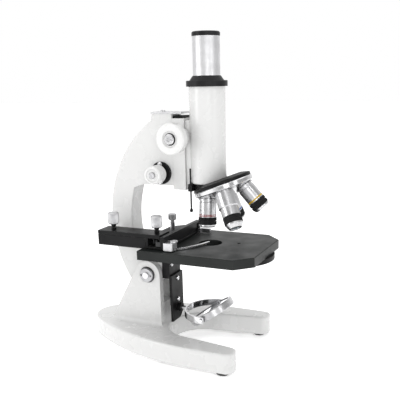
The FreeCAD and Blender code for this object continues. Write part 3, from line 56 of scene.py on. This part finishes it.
class Finish:
    """A procedural material under construction; every pattern is in metres in the row frame."""

    def __init__(self, name, metal=0.0, coat=0.0, coat_rough=0.05, gloss=0.5):
        self.material = bpy.data.materials.new(name)
        self.material.use_nodes = True
        self.tree = self.material.node_tree
        self.shader = self.tree.nodes["Principled BSDF"]
        self.shader.inputs["Metallic"].default_value = metal
        self.shader.inputs["Coat Weight"].default_value = coat
        self.shader.inputs["Specular IOR Level"].default_value = gloss
        self.shader.inputs["Coat Roughness"].default_value = coat_rough
        self.place = self.node("ShaderNodeTexCoord").outputs["Object"]
        self.normal = None

    def node(self, kind, **settings):
        made = self.tree.nodes.new(kind)
        for key, setting in settings.items():
            setattr(made, key, setting)
        return made

    def link(self, source, target):
        self.tree.links.new(source, target)

    def stretched(self, scale, turn=(0.0, 0.0, 0.0)):
        mapping = self.node("ShaderNodeMapping")
        mapping.inputs["Scale"].default_value = scale
        mapping.inputs["Rotation"].default_value = turn
        self.link(self.place, mapping.inputs["Vector"])
        return mapping.outputs["Vector"]

    def noise(self, scale, detail=3.0, vector=None, distortion=0.0):
        made = self.node("ShaderNodeTexNoise")
        made.inputs["Scale"].default_value = scale
        made.inputs["Detail"].default_value = detail
        made.inputs["Distortion"].default_value = distortion
        self.link(vector or self.place, made.inputs["Vector"])
        return made.outputs["Fac"]

    def rings(self, axis, scale, detail=4.0):
        """Lathe marks: noise that changes only along the turning axis."""
        along = self.node("ShaderNodeVectorMath", operation="DOT_PRODUCT")
        along.inputs[1].default_value = axis
        self.link(self.place, along.inputs[0])
        made = self.node("ShaderNodeTexNoise", noise_dimensions="1D")
        made.inputs["Scale"].default_value = scale
        made.inputs["Detail"].default_value = detail
        self.link(along.outputs["Value"], made.inputs["W"])
        return made.outputs["Fac"]

    def span(self, source, low, high, start=0.3, end=0.7):
        made = self.node("ShaderNodeMapRange")
        for key, number in (("From Min", start), ("From Max", end), ("To Min", low),
                            ("To Max", high)):
            made.inputs[key].default_value = number
        self.link(source, made.inputs["Value"])
        return made.outputs["Result"]

    def blend(self, factor, first, second):
        made = self.node("ShaderNodeMix", data_type="RGBA")
        self.link(factor, made.inputs["Factor"])
        for index, colour in ((6, first), (7, second)):
            if isinstance(colour, tuple):
                made.inputs[index].default_value = (*colour, 1.0)
            else:
                self.link(colour, made.inputs[index])
        return made.outputs[2]

    def add(self, first, second, share):
        made = self.node("ShaderNodeMath", operation="MULTIPLY_ADD")
        made.inputs[1].default_value = share
        self.link(second, made.inputs[0])
        self.link(first, made.inputs[2])
        return made.outputs["Value"]

    def soft_edges(self, radius):
        bevel = self.node("ShaderNodeBevel", samples=4)
        bevel.inputs["Radius"].default_value = radius
        self.normal = bevel.outputs["Normal"]

    def worn_edges(self, radius):
        """One where an edge is sharper than the given radius, zero on open faces."""
        bevel = self.node("ShaderNodeBevel", samples=4)
        bevel.inputs["Radius"].default_value = radius
        facing = self.node("ShaderNodeVectorMath", operation="DOT_PRODUCT")
        self.link(bevel.outputs["Normal"], facing.inputs[0])
        self.link(self.node("ShaderNodeNewGeometry").outputs["Normal"], facing.inputs[1])
        return self.span(facing.outputs["Value"], 1.0, 0.0, 0.86, 0.97)

    def bump(self, height, strength, distance):
        made = self.node("ShaderNodeBump")
        made.inputs["Strength"].default_value = strength
        made.inputs["Distance"].default_value = distance
        self.link(height, made.inputs["Height"])
        if self.normal:
            self.link(self.normal, made.inputs["Normal"])
        self.normal = made.outputs["Normal"]

    def done(self, colour, rough):
        self.link(colour, self.shader.inputs["Base Color"])
        self.link(rough, self.shader.inputs["Roughness"])
        if self.normal:
            self.link(self.normal, self.shader.inputs["Normal"])
        return self.material


def enamel(name, colour, shade, rough, peel, edge=0.0, coat=0.12, gloss=0.5):
    """Stoved paint with faint orange peel, handling marks and, where asked, worn edges."""
    made = Finish(name, coat=coat, coat_rough=0.12, gloss=gloss)
    tone = made.blend(made.span(made.noise(26.0, 4.0), 0.0, 1.0), colour, shade)
    specks = made.span(made.noise(620.0, 2.0), 0.0, 0.14, 0.70, 0.80)
    tone = made.blend(specks, tone, tuple(0.6 * part for part in shade))
    marks = made.noise(55.0, 3.0)
    made.soft_edges(0.5 * MM)
    made.bump(made.noise(peel, 2.0), 0.07, 0.10 * MM)
    if edge:
        wear = made.node("ShaderNodeMath", operation="MULTIPLY")
        made.link(made.worn_edges(0.45 * MM), wear.inputs[0])
        made.link(made.span(made.noise(240.0, 4.0), 0.0, edge, 0.45, 0.7), wear.inputs[1])
        tone = made.blend(wear.outputs["Value"], tone, (0.34, 0.33, 0.31))
    return made.done(tone, made.span(marks, rough[0], rough[1]))


def turned_metal(name, colour, axis, rough, marks=2600.0, strength=0.25, edge=0.3):
    """Lathe-turned metal: fine rings about the axis, smudges, soft edges."""
    made = Finish(name, metal=1.0)
    rings = made.rings(axis, marks)
    smudge = made.noise(120.0, 4.0, distortion=0.4)
    dull = tuple(0.82 * part for part in colour)
    tone = made.blend(made.span(smudge, 0.0, 1.0), colour, dull)
    made.soft_edges(edge * MM)
    made.bump(rings, strength, 0.03 * MM)
    mixed = made.add(made.span(smudge, rough[0], rough[1]), rings, 0.08)
    return made.done(tone, mixed)


def brushed_metal(name, colour, direction, rough):
    """Sheet metal brushed along one axis."""
    made = Finish(name, metal=1.0)
    scale = tuple(40.0 if axis == direction else 2400.0 for axis in range(3))
    grain = made.noise(1.0, 3.0, made.stretched(scale))
    smudge = made.noise(110.0, 4.0)
    dull = tuple(0.8 * part for part in colour)
    made.soft_edges(0.3 * MM)
    made.bump(grain, 0.3, 0.03 * MM)
    return made.done(made.blend(made.span(smudge, 0.0, 1.0), colour, dull),
                     made.span(grain, rough[0], rough[1]))


def plated(name):
    """Bright nickel or chrome plate with hairline scratches."""
    made = Finish(name, metal=1.0)
    scratches = made.noise(1.0, 2.0, made.stretched((300.0, 2600.0, 500.0), (0.5, 0.2, 0.9)))
    smudge = made.noise(150.0, 5.0, distortion=0.5)
    tone = made.blend(made.span(smudge, 0.0, 1.0), (0.74, 0.74, 0.75), (0.60, 0.60, 0.61))
    made.soft_edges(0.3 * MM)
    made.bump(scratches, 0.08, 0.02 * MM)
    return made.done(tone, made.add(made.span(smudge, 0.07, 0.18), scratches, 0.05))


def moulded(name, colour, shade, rough, grain, coat=0.0, gloss=0.5):
    """Moulded plastic or rubber with a fine skin texture."""
    made = Finish(name, coat=coat, gloss=gloss)
    skin = made.noise(grain, 4.0)
    patches = made.noise(70.0, 4.0)
    made.soft_edges(0.35 * MM)
    made.bump(skin, 0.18, 0.08 * MM)
    return made.done(made.blend(made.span(patches, 0.0, 1.0), colour, shade),
                     made.add(made.span(patches, rough[0], rough[1]), skin, 0.06))


def lens_glass(name):
    made = Finish(name, coat=0.4)
    made.shader.inputs["Transmission Weight"].default_value = 0.85
    made.shader.inputs["IOR"].default_value = 1.5
    dust = made.noise(500.0, 3.0)
    return made.done(made.blend(made.span(dust, 0.0, 1.0), (0.75, 0.86, 0.92),
                                (0.62, 0.72, 0.80)),
                     made.span(dust, 0.02, 0.07))


def silvered(name):
    made = Finish(name, metal=1.0)
    smears = made.noise(60.0, 6.0, distortion=1.2)
    return made.done(made.blend(made.span(smears, 0.0, 1.0), (0.90, 0.91, 0.92),
                                (0.80, 0.81, 0.83)),
                     made.span(smears, 0.015, 0.09))


def axis_of(joint):
    return Vector(joints[joint]["axis"]).normalized()


nose_axis = axis_of("nosepiece_turn")
MIRROR_TILT = -33.0
SILVER = (0.63, 0.63, 0.64)
finishes = {
    "white_enamel": enamel("white_enamel", (0.655, 0.655, 0.65), (0.642, 0.642, 0.636),
                           (0.24, 0.30), 420.0),
    "black_enamel": enamel("black_enamel", (0.006, 0.006, 0.0065), (0.012, 0.012, 0.0125),
                           (0.30, 0.46), 900.0, 0.5, 0.0, 0.12),
    "stage_black": enamel("stage_black", (0.008, 0.0095, 0.009), (0.017, 0.019, 0.018),
                          (0.34, 0.48), 1300.0, 0.4, 0.0, 0.20),
    "chrome": plated("chrome"),
    "satin_aluminium": turned_metal("satin_aluminium", SILVER, UP, (0.24, 0.38)),
    "brushed_steel": brushed_metal("brushed_steel", (0.50, 0.50, 0.51), 0, (0.22, 0.40)),
    "brass": turned_metal("brass", (0.72, 0.53, 0.25), UP, (0.25, 0.4)),
    "white_plastic": moulded("white_plastic", (0.72, 0.72, 0.715), (0.68, 0.68, 0.672),
                             (0.20, 0.32), 700.0, 0.3),
    "black_plastic": moulded("black_plastic", (0.008, 0.008, 0.0085), (0.016, 0.016, 0.017),
                             (0.32, 0.5), 1500.0, 0.0, 0.18),
    "foot_rubber": moulded("foot_rubber", (0.018, 0.018, 0.018), (0.034, 0.033, 0.032),
                           (0.65, 0.85), 1100.0),
    "glass": lens_glass("glass"),
    "mirror": silvered("mirror"),
}
slots = {part["node"]: part["material_slot"] for part in frame["record"]["subparts"]}


def dress(node, finish):
    for slot in nodes[node].material_slots:
        slot.material = finish


for name, slot_name in slots.items():
    dress(name, finishes[slot_name])
dress("arm_cover_plate", brushed_metal("cover_brushed", SILVER, 1, (0.25, 0.42)))
dress("mech_corner", brushed_metal("corner_brushed", SILVER, 1, (0.25, 0.42)))
dress("mech_finger_block", brushed_metal("block_brushed", SILVER, 1, (0.3, 0.46)))
dress("mech_finger", brushed_metal("finger_brushed", (0.7, 0.7, 0.71), 0, (0.18, 0.3)))
dress("draw_tube", turned_metal("draw_tube_satin", (0.72, 0.72, 0.73), UP, (0.36, 0.46), 900.0,
                                0.5))
dark_steel = brushed_metal("oiled_steel", (0.06, 0.06, 0.062), 2, (0.35, 0.5))
for name in ("mech_x_pinion", "mech_bar_rack", "mech_rail_rack", "mech_y_pinion"):
    dress(name, dark_steel)
dress("pivot_nuts", turned_metal("nut_turned", (0.46, 0.46, 0.47), axis_of("inclination"),
                                 (0.26, 0.4)))
cell_axis = Matrix.Rotation(math.radians(MIRROR_TILT), 3, "X") @ UP
dress("mirror_cell", turned_metal("cell_turned", SILVER, cell_axis, (0.2, 0.34)))
dress("nosepiece_ring", turned_metal("ring_turned", (0.7, 0.7, 0.71), nose_axis, (0.1, 0.2)))


# ---- mesh pieces ----------------------------------------------------------------------------

def piece(name, points, faces, body, slot, finish=None, sharp=32.0, stands_for=()):
    mesh = bpy.data.meshes.new(name)
    mesh.from_pydata(points, [], faces)
    mesh.validate()
    mesh.polygons.foreach_set("use_smooth", [True] * len(mesh.polygons))
    mesh.set_sharp_from_angle(angle=math.radians(sharp))
    made = bpy.data.objects.new(name, mesh)
    bpy.context.scene.collection.objects.link(made)
    mesh.materials.append(finish or finishes[slot])
    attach(made, body)
    if stands_for:
        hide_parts(*stands_for)
    return made


def lathe(profile, where, ridges=0, depth=0.0, steps=96):
    """Points and faces turned about the local Z axis of where.  Each profile entry is
    (radius, height) or (radius, height, share of the ridge depth), in millimetres."""
    steps = ridges * 4 if ridges else steps
    points = []
    faces = []
    rows = []
    for entry in profile:
        radius, height = entry[:2]
        share = entry[2] if len(entry) > 2 else 0.0
        if radius == 0:
            rows.append([len(points)] * steps)
            points.append(where @ Vector((0.0, 0.0, height * MM)))
            continue
        rows.append(list(range(len(points), len(points) + steps)))
        for step in range(steps):
            angle = math.tau * step / steps
            wave = (0.0, 0.75, 1.0, 0.75)[step % 4] if ridges else 0.0
            own = (radius - depth * share * wave) * MM
            points.append(where @ Vector((own * math.cos(angle), own * math.sin(angle),
                                          height * MM)))
    for lower, upper in zip(rows, rows[1:]):
        for step in range(steps):
            after = (step + 1) % steps
            corners = [lower[step], lower[after], upper[after], upper[step]]
            face = list(dict.fromkeys(corners))
            if len(face) > 2:
                faces.append(face)
    return points, faces


def turned_piece(name, profile, where, body, slot, **options):
    shape = {key: options.pop(key) for key in ("ridges", "depth", "steps") if key in options}
    points, faces = lathe(profile, where, **shape)
    return piece(name, points, faces, body, slot, **options)


def joined(parts):
    """Several (points, faces) shapes as one."""
    points = []
    faces = []
    for more_points, more_faces in parts:
        start = len(points)
        points += more_points
        faces += [[corner + start for corner in face] for face in more_faces]
    return points, faces


def slotted_head(where, radius, height, slot_half, slot_depth, steps=48):
    """A bevelled round head with a straight driver slot across its top."""
    bevel = min(0.35, height * 0.3)
    points = []
    rings = []
    half_angle = math.asin(slot_half / radius)
    angles = []
    for side in (0.0, math.pi):
        start = side + half_angle
        arc = math.pi - 2 * half_angle
        angles += [start + arc * step / (steps // 2) for step in range(steps // 2 + 1)]
    for size, level in ((radius, 0.0), (radius, height - bevel), (radius - bevel, height)):
        ring = []
        for angle in angles:
            across = max(min(size * math.sin(angle), size), -size)
            if abs(across) < slot_half:
                across = math.copysign(slot_half, across or math.sin(angle))
            ring.append(len(points))
            points.append(where @ Vector((size * math.cos(angle) * MM, across * MM,
                                          level * MM)))
        rings.append(ring)
    count = len(angles)
    half = count // 2
    faces = []
    for lower, upper in zip(rings, rings[1:]):
        for index in range(count):
            after = (index + 1) % count
            if index in (half - 1, count - 1):
                continue
            faces.append([lower[index], lower[after], upper[after], upper[index]])
    floor = []
    for index in (0, half - 1, half, count - 1):
        low = points[rings[2][index]] - where.to_3x3() @ Vector((0, 0, slot_depth * MM))
        floor.append(len(points))
        points.append(low)
    top = rings[2]
    faces.append(top[:half])
    faces.append(top[half:])
    faces.append([floor[0], floor[1], top[half - 1], top[0]])
    faces.append([floor[2], floor[3], top[count - 1], top[half]])
    faces.append([floor[1], floor[0], floor[3], floor[2]])
    faces.append([floor[0], top[0], rings[0][0], rings[0][count - 1], top[count - 1], floor[3]])
    faces.append([floor[2], top[half], rings[0][half], rings[0][half - 1], top[half - 1],
                  floor[1]])
    return points, faces


# knurled drive knobs of the mechanical stage, each on a black neck
KNOB_HEAD = 12.5
for letter in ("x", "y"):
    node = f"mech_{letter}_knob"
    low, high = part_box(node)
    centre = (low + high) / 2
    here = Matrix.Translation(Vector((centre.x, centre.y, low.z)))
    tall = (high.z - low.z) / MM
    head = tall - KNOB_HEAD
    rim = (high.x - low.x) / 2 / MM
    turned_piece(f"{node}_head",
                 [(0, head), (rim - 1.0, head), (rim, head + 0.9, 0), (rim, head + 1.0, 1),
                  (rim, tall - 1.0, 1), (rim, tall - 0.9, 0), (rim - 1.0, tall),
                  (rim - 2.2, tall), (rim - 2.6, tall - 0.5), (0, tall - 0.5)],
                 here, f"{letter}_knob", "satin_aluminium", ridges=36, depth=0.55,
                 stands_for=[node])
    turned_piece(f"{node}_neck",
                 [(0, 0), (2.0, 0), (2.0, 12.1), (2.7, 12.1), (2.7, 13.6), (2.2, 13.9),
                  (2.2, 15.4), (2.7, 15.7), (2.7, head), (0, head)],
                 here, f"{letter}_knob", "black_enamel")

# knurled clamp screw
CLAMP_HEAD = 7.0
low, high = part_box("mech_thumb_screw")
here = Matrix.Translation(Vector(((low.x + high.x) / 2, (low.y + high.y) / 2, low.z)))
tall = (high.z - low.z) / MM
rim = (high.x - low.x) / 2 / MM
head = tall - CLAMP_HEAD
turned_piece("thumb_screw_head",
             [(0, 0), (1.8, 0), (1.8, 4.0), (2.6, 4.0), (2.6, head - 2.4), (2.1, head - 2.0),
              (2.1, head - 0.9), (2.6, head - 0.6), (2.6, head), (rim - 0.6, head),
              (rim, head + 0.6, 0), (rim, head + 0.7, 1), (rim, tall - 0.7, 1),
              (rim, tall - 0.6, 0), (rim - 0.6, tall), (rim - 1.6, tall),
              (rim - 1.9, tall - 0.4), (0, tall - 0.4)],
             here, "arm", "satin_aluminium", ridges=28, depth=0.45,
             stands_for=["mech_thumb_screw"])

# objectives: knurled grips and painted rings; each lens has its angle on the turret, its
# length and the height of its grip's lower edge above the tip
NOSE_PITCH = 20.2
GRIP_RADIUS = 9.6
GRIP_HEIGHT = 7.8
BARREL_RADIUS = 9.1
nose_tilt = math.acos(nose_axis.z)
nose_centre = Vector(joints["nosepiece_turn"]["pos_m"])
nose_frame = Matrix.Translation(nose_centre) @ Matrix.Rotation(-nose_tilt, 4, "X")
LENSES = {"red": (110, 30.0, 2.8), "yellow": (290, 30.5, 2.8), "blue": (20, 34.5, 2.8),
          "oil": (200, 39.0, 5.2)}
RINGS = {
    "red": ((0.6, 1.5, (0.26, 0.006, 0.010)), (2.1, 3.0, (0.26, 0.006, 0.010))),
    "yellow": ((0.9, 2.6, (0.66, 0.42, 0.02)),),
    "blue": ((0.9, 2.6, (0.02, 0.10, 0.38)),),
    "oil": (),
}


def objective_place(angle):
    turn = math.radians(angle)
    seat = Matrix.Translation(Vector((math.cos(turn), math.sin(turn), 0.0)) * NOSE_PITCH * MM)
    lean = Matrix.Rotation(turn - math.pi / 2, 4, "Z") @ Matrix.Rotation(nose_tilt, 4, "X")
    return nose_frame @ seat @ lean


grips = []
for colour, (angle, length, above) in LENSES.items():
    here = objective_place(angle)
    axis = (here.to_3x3() @ UP).normalized()
    dress(f"objective_{colour}", turned_metal(f"barrel_{colour}", SILVER, axis, (0.2, 0.32)))
    low = above - length
    high = low + GRIP_HEIGHT
    edge = GRIP_RADIUS - 0.45
    groove = (low + high) / 2
    grips.append(lathe([(8.0, low), (edge, low), (GRIP_RADIUS, low + 0.4, 0),
                        (GRIP_RADIUS, low + 0.5, 1), (GRIP_RADIUS, groove - 0.5, 1),
                        (edge - 0.2, groove - 0.35, 0), (edge - 0.2, groove + 0.35, 0),
                        (GRIP_RADIUS, groove + 0.5, 1), (GRIP_RADIUS, high - 0.5, 1),
                        (GRIP_RADIUS, high - 0.4, 0), (edge, high), (8.0, high)],
                       here, ridges=64, depth=0.4))
    for index, (start, end, paint) in enumerate(RINGS[colour], start=1):
        outer = BARREL_RADIUS + 0.03
        pale = tuple(0.7 * part for part in paint)
        turned_piece(f"ring_{colour}_{index}",
                     [(outer - 0.2, high + start), (outer, high + start + 0.05),
                      (outer, high + end - 0.05), (outer - 0.2, high + end)],
                     here, "nosepiece", "black_plastic",
                     finish=moulded(f"ring_paint_{colour}_{index}", paint, pale, (0.3, 0.45),
                                    900.0))
piece("objective_grip_rings", *joined(grips), "nosepiece", "black_plastic",
      stands_for=["objective_grips"])

# slotted caps on the fine focus shaft ends
FINE_SHAFT_END = 31.0
SLOT_ANGLE = 35
fine_spot = Vector(joints["fine_turn"]["pos_m"])
caps = []
for side in (-1, 1):
    turn = Matrix.Rotation(side * math.pi / 2, 4, "Y")
    spin = Matrix.Rotation(math.radians(SLOT_ANGLE), 4, "Z")
    end = fine_spot + Vector((side * FINE_SHAFT_END * MM, 0, 0))
    here = Matrix.Translation(end) @ turn @ spin
    caps.append(slotted_head(here, 3.4, 2.5, 0.45, 0.9))
piece("fine_knob_screws", *joined(caps), "fine_knob_pair", "brushed_steel")


def facing_pairs(spot, profile):
    """The same ring on the near and on the far side of a cross shaft."""
    rings = []
    for side in (-1, 1):
        turn = Matrix.Rotation(side * math.pi / 2, 4, "Y")
        rings.append(lathe(profile, Matrix.Translation(spot) @ turn))
    return joined(rings)


# dark seats round the coarse focus nuts and the tilt bolt nuts
coarse_spot = Vector(joints["coarse_turn"]["pos_m"])
nut_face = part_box("coarse_knobs")[1].x / MM - 0.6
piece("coarse_nut_seats", *facing_pairs(coarse_spot, [
    (5.3, nut_face), (6.3, nut_face), (6.3, nut_face + 0.15), (6.1, nut_face + 0.3),
    (5.3, nut_face + 0.3), (5.3, nut_face)]), "coarse_knob_pair", "black_plastic")
CHEEK_FACE = 19.0
tilt_spot = Vector(joints["inclination"]["pos_m"])
piece("tilt_washers", *facing_pairs(tilt_spot, [
    (5.2, CHEEK_FACE), (9.2, CHEEK_FACE), (9.2, CHEEK_FACE + 0.25), (9.0, CHEEK_FACE + 0.4),
    (5.2, CHEEK_FACE + 0.4), (5.2, CHEEK_FACE)]), "base", "brushed_steel",
      finish=dark_steel)

# round cap over the spring finger's pivot
finger_spot = Vector(joints["finger_swing"]["pos_m"])
block_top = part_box("mech_finger_block")[1].z
here = Matrix.Translation(Vector((finger_spot.x, finger_spot.y, block_top)))
turned_piece("finger_pivot_cap", [(0, -0.2), (4.4, -0.2), (4.4, 0.9), (4.0, 1.3), (2.6, 1.3),
                                  (2.3, 1.0), (0, 1.0)], here, "slide_holder",
             "satin_aluminium", steps=64)


# ---- floor, light, camera -------------------------------------------------------------------

FLOOR_REACH = 8.0
FLOOR_GLOW = 0.38
TARGET = (0.0, 0.0, 0.17)
CAMERA_ANGLES = (-66.21, 14.57, -1.13)
CAMERA_PLACE = (-0.576, -0.30476, 0.291)
CAMERA_LENS = 54.36
CAMERA_SHIFT = (-0.0475, 0.0975)


def floor_finish():
    made = Finish("floor_paper")
    fibre = made.noise(240.0, 4.0)
    made.bump(fibre, 0.03, 0.1 * MM)
    made.shader.inputs["Emission Color"].default_value = (1.0, 1.0, 1.0, 1.0)
    made.shader.inputs["Emission Strength"].default_value = FLOOR_GLOW
    return made.done(made.blend(fibre, (0.93, 0.93, 0.93), (0.95, 0.95, 0.95)),
                     made.span(fibre, 0.7, 0.8))


def build_floor():
    mesh = bpy.data.meshes.new("floor")
    corners = ((-1, -1), (1, -1), (1, 1), (-1, 1))
    points = [(x * FLOOR_REACH, y * FLOOR_REACH, 0) for x, y in corners]
    mesh.from_pydata([Vector(point) for point in points], [], [(0, 1, 2, 3)])
    mesh.materials.append(floor_finish())
    floor = bpy.data.objects.new("floor", mesh)
    bpy.context.scene.collection.objects.link(floor)


def soft_light(name, place, aim, size, power):
    light = bpy.data.lights.new(name, "AREA")
    light.shape = "RECTANGLE"
    light.size, light.size_y = size
    light.energy = power
    lamp = bpy.data.objects.new(name, light)
    lamp.location = place
    lamp.rotation_mode = "QUATERNION"
    lamp.rotation_quaternion = (Vector(aim) - Vector(place)).to_track_quat("-Z", "Y")
    bpy.context.scene.collection.objects.link(lamp)


def build_camera():
    azimuth, elevation, roll = (math.radians(part) for part in CAMERA_ANGLES)
    back = Vector((math.sin(azimuth) * math.cos(elevation),
                   -math.cos(azimuth) * math.cos(elevation), math.sin(elevation)))
    right = (-back).cross(UP).normalized()
    upward = right.cross(-back)
    leaned_right = right * math.cos(roll) + upward * math.sin(roll)
    leaned_up = upward * math.cos(roll) - right * math.sin(roll)
    camera = bpy.data.cameras.new("camera")
    camera.sensor_width = 36.0
    camera.lens = CAMERA_LENS
    camera.shift_x, camera.shift_y = CAMERA_SHIFT
    camera.clip_start = 0.02
    holder = bpy.data.objects.new("camera", camera)
    turn = Matrix((leaned_right, leaned_up, back)).transposed().to_4x4()
    holder.matrix_world = Matrix.Translation(Vector(CAMERA_PLACE)) @ turn
    bpy.context.scene.collection.objects.link(holder)
    bpy.context.scene.camera = holder


def build_world():
    """A lit backdrop behind the object and a dimmer room on the viewer's side."""
    world = bpy.data.worlds.new("studio")
    world.use_nodes = True
    tree = world.node_tree
    facing = tree.nodes.new("ShaderNodeVectorMath")
    facing.operation = "DOT_PRODUCT"
    facing.inputs[1].default_value = Vector((0.88, 0.42, 0.2)).normalized()
    tree.links.new(tree.nodes.new("ShaderNodeTexCoord").outputs["Generated"], facing.inputs[0])
    level = tree.nodes.new("ShaderNodeMapRange")
    level.interpolation_type = "SMOOTHSTEP"
    for key, number in (("From Min", 0.1), ("From Max", 0.75), ("To Min", 0.48),
                        ("To Max", 1.0)):
        level.inputs[key].default_value = number
    tree.links.new(facing.outputs["Value"], level.inputs["Value"])
    tree.links.new(level.outputs["Result"], tree.nodes["Background"].inputs["Strength"])
    tree.nodes["Background"].inputs["Color"].default_value = (1.0, 1.0, 1.0, 1.0)
    bpy.context.scene.world = world
    bpy.context.scene.view_settings.view_transform = "Standard"


build_floor()
build_world()
build_camera()
soft_light("top", (0.15, 0.1, 1.7), (0.1, 0.0, 0.0), (2.6, 2.6), 20.0)
soft_light("key", (-1.1, -0.75, 0.75), TARGET, (0.4, 1.1), 4.0)
soft_light("strip", (-0.45, -1.3, 0.6), TARGET, (0.16, 1.2), 2.5)
soft_light("side", (-0.9, 0.9, 0.5), TARGET, (0.35, 1.0), 5.0)
